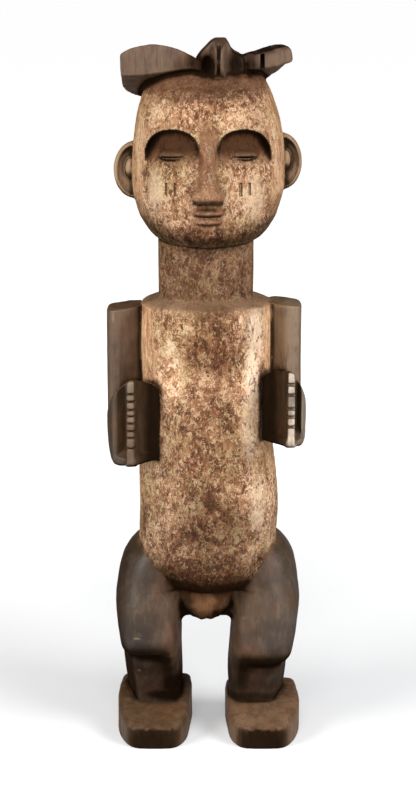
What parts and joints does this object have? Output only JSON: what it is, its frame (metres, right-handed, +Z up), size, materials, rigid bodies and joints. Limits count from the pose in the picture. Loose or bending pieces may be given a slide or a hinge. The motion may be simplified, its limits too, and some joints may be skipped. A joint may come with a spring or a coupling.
{
  "type": "ambete figure",
  "caption": "Carved wooden standing figure with a lobed crest of hair, arms at its sides with hands held forward, a full belly, bent knees and blunt feet; stands on its soles.",
  "frame": {"origin": "the middle of the figure's box on the ground, between the soles", "axes": "+Z up from the soles, the figure faces -Y, +X towards the figure's own left side"},
  "size_m": [0.1831, 0.152, 0.6498],
  "materials": {
    "carved_wood": "hand carved hardwood, worn dark patina with flaking pale pigment on the head and trunk"
  },
  "bodies": {
    "root": {"figure": "carved_wood"}
  },
  "joints": []
}
